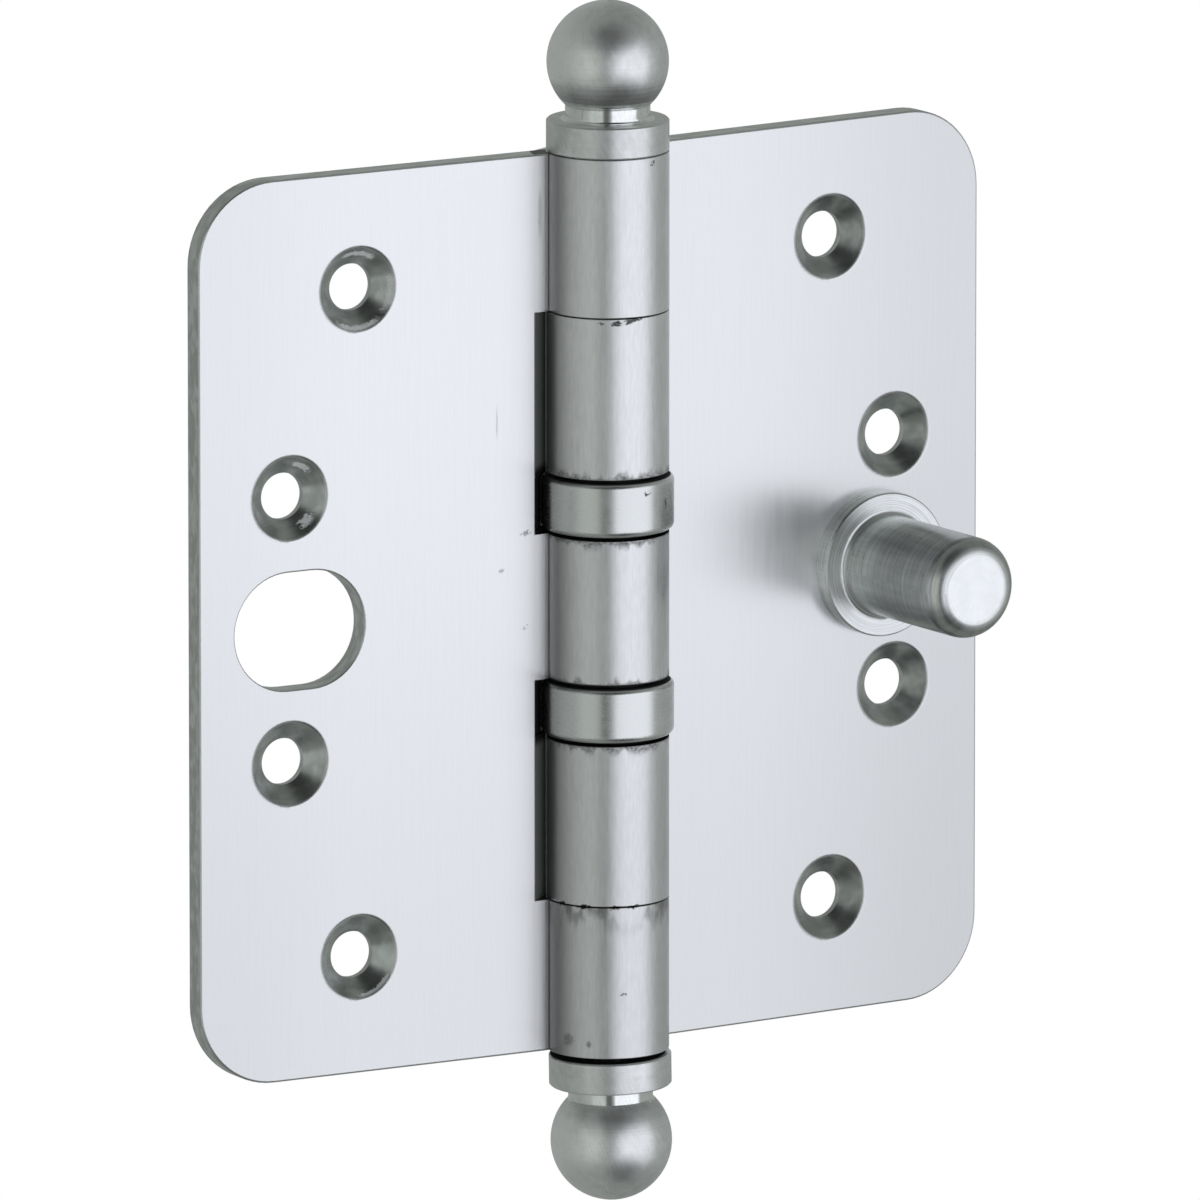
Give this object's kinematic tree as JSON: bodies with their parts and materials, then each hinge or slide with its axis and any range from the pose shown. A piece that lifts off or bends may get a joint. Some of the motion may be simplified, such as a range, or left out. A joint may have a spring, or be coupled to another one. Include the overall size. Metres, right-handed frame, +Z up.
{
  "type": "ball bearing security hinge",
  "caption": "Butt hinge of two flat round-cornered leaves on a ball-tipped barrel with thrust bearings; a stud on the door leaf locks into a slot in the frame leaf.",
  "frame": {"origin": "on the hinge pin's axis at mid-height of the leaves", "axes": "+Z up along the pin, -Y out of the leaves' fronts, frame leaf towards -X, door leaf towards +X"},
  "size_m": [0.0887, 0.0209, 0.119],
  "materials": {
    "leaf_steel": "satin brushed",
    "tip_steel": "turned satin",
    "stud_steel": "turned",
    "bearing_shell_steel": "satin",
    "race_steel": "ground",
    "bearing_ball_steel": "polished",
    "pin_steel": "ground"
  },
  "bodies": {
    "frame": {"frame_leaf": "leaf_steel", "hinge_pin": "pin_steel", "top_finial": "tip_steel", "bottom_finial": "tip_steel", "upper_bearing_bottom_race": "race_steel", "upper_bearing_shell": "bearing_shell_steel", "lower_bearing_top_race": "race_steel"},
    "door": {"door_leaf": "leaf_steel", "security_stud": "stud_steel", "upper_bearing_top_race": "race_steel", "lower_bearing_bottom_race": "race_steel", "lower_bearing_shell": "bearing_shell_steel"},
    "upper_balls": {"upper_bearing_ball_01": "bearing_ball_steel", "upper_bearing_ball_02": "bearing_ball_steel", "upper_bearing_ball_03": "bearing_ball_steel", "upper_bearing_ball_04": "bearing_ball_steel", "upper_bearing_ball_05": "bearing_ball_steel", "upper_bearing_ball_06": "bearing_ball_steel", "upper_bearing_ball_07": "bearing_ball_steel", "upper_bearing_ball_08": "bearing_ball_steel", "upper_bearing_ball_09": "bearing_ball_steel", "upper_bearing_ball_10": "bearing_ball_steel", "upper_bearing_ball_11": "bearing_ball_steel", "upper_bearing_ball_12": "bearing_ball_steel"},
    "lower_balls": {"lower_bearing_ball_01": "bearing_ball_steel", "lower_bearing_ball_02": "bearing_ball_steel", "lower_bearing_ball_03": "bearing_ball_steel", "lower_bearing_ball_04": "bearing_ball_steel", "lower_bearing_ball_05": "bearing_ball_steel", "lower_bearing_ball_06": "bearing_ball_steel", "lower_bearing_ball_07": "bearing_ball_steel", "lower_bearing_ball_08": "bearing_ball_steel", "lower_bearing_ball_09": "bearing_ball_steel", "lower_bearing_ball_10": "bearing_ball_steel", "lower_bearing_ball_11": "bearing_ball_steel", "lower_bearing_ball_12": "bearing_ball_steel"}
  },
  "joints": [
    {"name": "leaf_swing", "type": "hinge", "parent": "frame", "child": "door", "pos_m": [0, 0, 0], "axis": [0, 0, 1], "range_deg": [-184.9, 82]},
    {"name": "upper_balls_roll", "type": "hinge", "parent": "frame", "child": "upper_balls", "pos_m": [0, 0, 0], "axis": [0, 0, 1], "range_deg": [-92.45, 41]},
    {"name": "lower_balls_roll", "type": "hinge", "parent": "frame", "child": "lower_balls", "pos_m": [0, 0, 0], "axis": [0, 0, 1], "range_deg": [-92.45, 41]}
  ],
  "couplings": [
    {"joint": "upper_balls_roll", "follows": "leaf_swing", "ratio": 0.5},
    {"joint": "lower_balls_roll", "follows": "leaf_swing", "ratio": 0.5}
  ]
}
